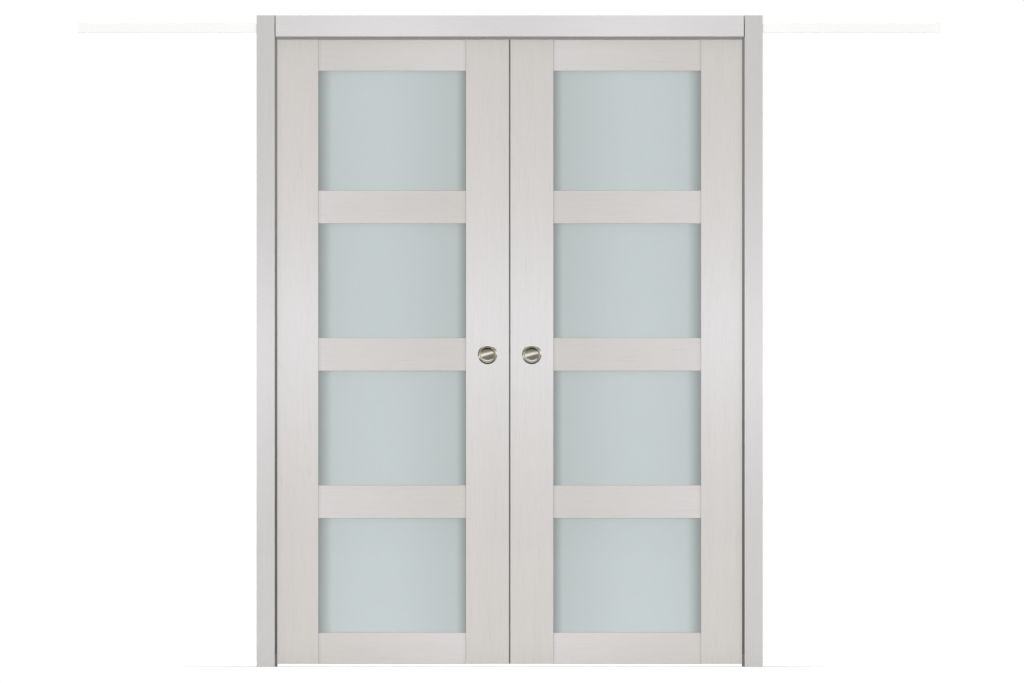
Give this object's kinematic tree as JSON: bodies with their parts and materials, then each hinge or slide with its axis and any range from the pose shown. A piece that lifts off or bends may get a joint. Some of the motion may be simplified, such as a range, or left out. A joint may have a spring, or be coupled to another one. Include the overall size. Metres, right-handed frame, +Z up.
{
  "type": "double pocket door",
  "caption": "Double sliding door with frosted lites, hung from trolleys on aluminium tracks in a cased split-jamb frame with brush seals and round cup pulls",
  "frame": {"origin": "on the finished floor, under the line where the leaves meet, in the middle of the wall", "axes": "+X to the right along the wall seen from the front, +Y through the wall towards the back, +Z up"},
  "size_m": [2.8066, 0.146, 2.119],
  "materials": {
    "leaf_boards": "pale grey foil with fine ash grain, satin",
    "frame_boards": "pale grey foil with fine ash grain, satin",
    "raw_wood": "planed softwood",
    "frosted_glass": "acid etched on both faces",
    "clear_channel": "soft grey glazing channel",
    "satin_nickel": "satin nickel plate",
    "black_rubber": "matte",
    "grey_pile": "woven pile in a grey carrier",
    "grey_nylon": "moulded nylon",
    "white_nylon": "turned nylon",
    "track_aluminium": "white powder coat on an extrusion",
    "zinc_steel": "bright zinc plate"
  },
  "bodies": {
    "frame": {"left_track": "track_aluminium", "right_track": "track_aluminium", "header_board": "raw_wood", "head_jamb_front": "frame_boards", "head_jamb_back": "frame_boards", "left_jamb_front": "frame_boards", "left_jamb_back": "frame_boards", "right_jamb_front": "frame_boards", "right_jamb_back": "frame_boards", "left_casing_front": "frame_boards", "left_casing_back": "frame_boards", "right_casing_front": "frame_boards", "right_casing_back": "frame_boards", "head_casing_front": "frame_boards", "head_casing_back": "frame_boards", "brush_seals": "grey_pile", "jamb_guides": "grey_nylon", "track_stops": "zinc_steel", "stop_buffers": "black_rubber", "frame_screws": "zinc_steel"},
    "left_leaf": {"left_meeting_stile": "leaf_boards", "left_pocket_stile": "leaf_boards", "left_top_rail": "leaf_boards", "left_upper_rail": "leaf_boards", "left_middle_rail": "leaf_boards", "left_lower_rail": "leaf_boards", "left_bottom_rail": "leaf_boards", "left_panes": "frosted_glass", "left_glazing_channels": "clear_channel", "left_dowels": "raw_wood", "left_front_pull": "satin_nickel", "left_back_pull": "satin_nickel", "left_edge_bumper": "black_rubber", "left_hanger_brackets": "zinc_steel", "left_trolleys": "zinc_steel", "left_hanger_bolts": "zinc_steel"},
    "left_lead_inner_wheels": {"left_lead_inner_wheels": "white_nylon"},
    "left_lead_outer_wheels": {"left_lead_outer_wheels": "white_nylon"},
    "left_rear_inner_wheels": {"left_rear_inner_wheels": "white_nylon"},
    "left_rear_outer_wheels": {"left_rear_outer_wheels": "white_nylon"},
    "right_leaf": {"right_meeting_stile": "leaf_boards", "right_pocket_stile": "leaf_boards", "right_top_rail": "leaf_boards", "right_upper_rail": "leaf_boards", "right_middle_rail": "leaf_boards", "right_lower_rail": "leaf_boards", "right_bottom_rail": "leaf_boards", "right_panes": "frosted_glass", "right_glazing_channels": "clear_channel", "right_dowels": "raw_wood", "right_front_pull": "satin_nickel", "right_back_pull": "satin_nickel", "right_edge_bumper": "black_rubber", "right_hanger_brackets": "zinc_steel", "right_trolleys": "zinc_steel", "right_hanger_bolts": "zinc_steel"},
    "right_lead_inner_wheels": {"right_lead_inner_wheels": "white_nylon"},
    "right_lead_outer_wheels": {"right_lead_outer_wheels": "white_nylon"},
    "right_rear_inner_wheels": {"right_rear_inner_wheels": "white_nylon"},
    "right_rear_outer_wheels": {"right_rear_outer_wheels": "white_nylon"}
  },
  "joints": [
    {"name": "left_leaf_slide", "type": "slide", "parent": "frame", "child": "left_leaf", "axis": [-1, 0, 0], "range_m": [0, 0.645]},
    {"name": "left_lead_inner_wheels_spin", "type": "hinge", "parent": "left_leaf", "child": "left_lead_inner_wheels", "pos_m": [-0.05, 0, 2.0772], "axis": [0, 1, 0], "continuous": true},
    {"name": "left_lead_outer_wheels_spin", "type": "hinge", "parent": "left_leaf", "child": "left_lead_outer_wheels", "pos_m": [-0.094, 0, 2.0772], "axis": [0, 1, 0], "continuous": true},
    {"name": "left_rear_inner_wheels_spin", "type": "hinge", "parent": "left_leaf", "child": "left_rear_inner_wheels", "pos_m": [-0.671, 0, 2.0772], "axis": [0, 1, 0], "continuous": true},
    {"name": "left_rear_outer_wheels_spin", "type": "hinge", "parent": "left_leaf", "child": "left_rear_outer_wheels", "pos_m": [-0.715, 0, 2.0772], "axis": [0, 1, 0], "continuous": true},
    {"name": "right_leaf_slide", "type": "slide", "parent": "frame", "child": "right_leaf", "axis": [1, 0, 0], "range_m": [0, 0.645]},
    {"name": "right_lead_inner_wheels_spin", "type": "hinge", "parent": "right_leaf", "child": "right_lead_inner_wheels", "pos_m": [0.05, 0, 2.0772], "axis": [0, 1, 0], "continuous": true},
    {"name": "right_lead_outer_wheels_spin", "type": "hinge", "parent": "right_leaf", "child": "right_lead_outer_wheels", "pos_m": [0.094, 0, 2.0772], "axis": [0, 1, 0], "continuous": true},
    {"name": "right_rear_inner_wheels_spin", "type": "hinge", "parent": "right_leaf", "child": "right_rear_inner_wheels", "pos_m": [0.671, 0, 2.0772], "axis": [0, 1, 0], "continuous": true},
    {"name": "right_rear_outer_wheels_spin", "type": "hinge", "parent": "right_leaf", "child": "right_rear_outer_wheels", "pos_m": [0.715, 0, 2.0772], "axis": [0, 1, 0], "continuous": true}
  ],
  "couplings": [
    {"joint": "left_lead_inner_wheels_spin", "follows": "left_leaf_slide", "rad_per_m": -100},
    {"joint": "left_lead_outer_wheels_spin", "follows": "left_leaf_slide", "rad_per_m": -100},
    {"joint": "left_rear_inner_wheels_spin", "follows": "left_leaf_slide", "rad_per_m": -100},
    {"joint": "left_rear_outer_wheels_spin", "follows": "left_leaf_slide", "rad_per_m": -100},
    {"joint": "right_lead_inner_wheels_spin", "follows": "right_leaf_slide", "rad_per_m": 100},
    {"joint": "right_lead_outer_wheels_spin", "follows": "right_leaf_slide", "rad_per_m": 100},
    {"joint": "right_rear_inner_wheels_spin", "follows": "right_leaf_slide", "rad_per_m": 100},
    {"joint": "right_rear_outer_wheels_spin", "follows": "right_leaf_slide", "rad_per_m": 100}
  ]
}
